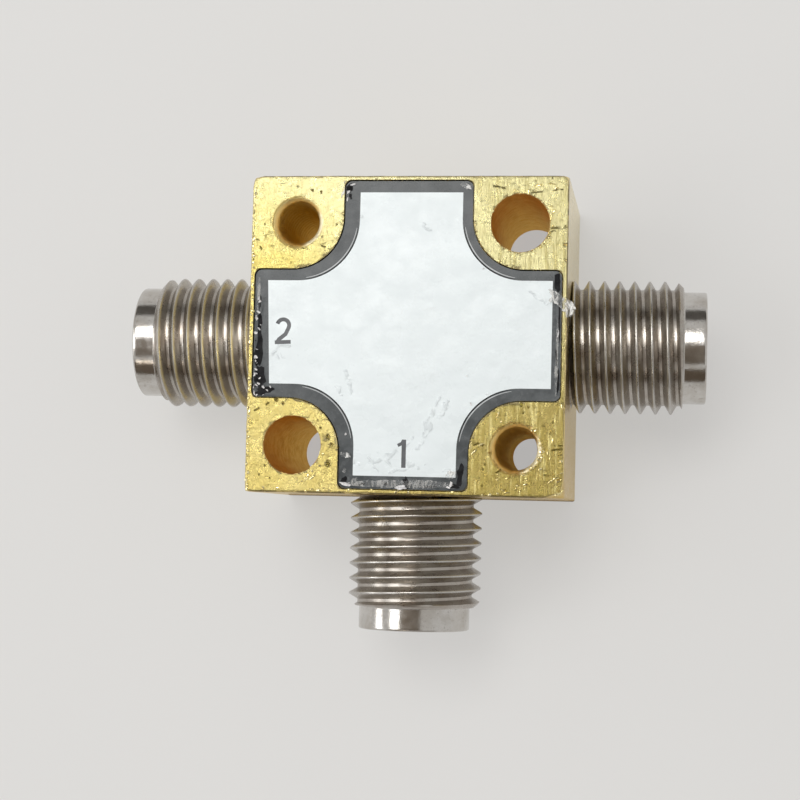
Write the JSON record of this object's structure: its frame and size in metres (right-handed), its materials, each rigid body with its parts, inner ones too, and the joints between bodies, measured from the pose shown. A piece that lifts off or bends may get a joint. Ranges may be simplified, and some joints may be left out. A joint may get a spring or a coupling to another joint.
{
  "type": "coaxial power divider",
  "caption": "Square gold-plated block with threaded coaxial sockets on its sides, a cross-shaped label in a front pocket, and plain and tapped corner holes.",
  "frame": {"origin": "centre of the block's flat back face", "axes": "+Z out of the labelled front face, +X out of port 3, port 1 along -Y and port 2 along -X"},
  "size_m": [0.027, 0.0207, 0.0105],
  "materials": {
    "gold_plated_block": "gold plate over machined brass, scratched",
    "gold_plated_cover": "gold plate",
    "label_film": "printed film, white field with a dark border",
    "alumina": "matt white alumina",
    "film_gold": "plated gold film",
    "resistor_film": "dark nickel-chrome film",
    "stainless_steel": "turned and passivated stainless steel",
    "bead_plastic": "amber engineering plastic",
    "contact_gold": "gold plate over beryllium copper",
    "sealing_glass": "dark sealing glass"
  },
  "bodies": {
    "root": {"housing": "gold_plated_block", "cover": "gold_plated_cover", "label": "label_film", "chip": "alumina", "junction_pad": "film_gold", "trace_1": "film_gold", "trace_2": "film_gold", "trace_3": "film_gold", "film_resistor_1": "resistor_film", "film_resistor_2": "resistor_film", "film_resistor_3": "resistor_film", "connector_shell_1": "stainless_steel", "connector_shell_2": "stainless_steel", "connector_shell_3": "stainless_steel", "support_bead_1": "bead_plastic", "support_bead_2": "bead_plastic", "support_bead_3": "bead_plastic", "retaining_sleeve_1": "contact_gold", "retaining_sleeve_2": "contact_gold", "retaining_sleeve_3": "contact_gold", "center_contact_1": "contact_gold", "center_contact_2": "contact_gold", "center_contact_3": "contact_gold", "sliding_contact_1": "contact_gold", "sliding_contact_2": "contact_gold", "sliding_contact_3": "contact_gold", "glass_bead_ring_1": "contact_gold", "glass_bead_ring_2": "contact_gold", "glass_bead_ring_3": "contact_gold", "glass_bead_1": "sealing_glass", "glass_bead_2": "sealing_glass", "glass_bead_3": "sealing_glass", "bead_pin_1": "contact_gold", "bead_pin_2": "contact_gold", "bead_pin_3": "contact_gold"}
  },
  "joints": []
}
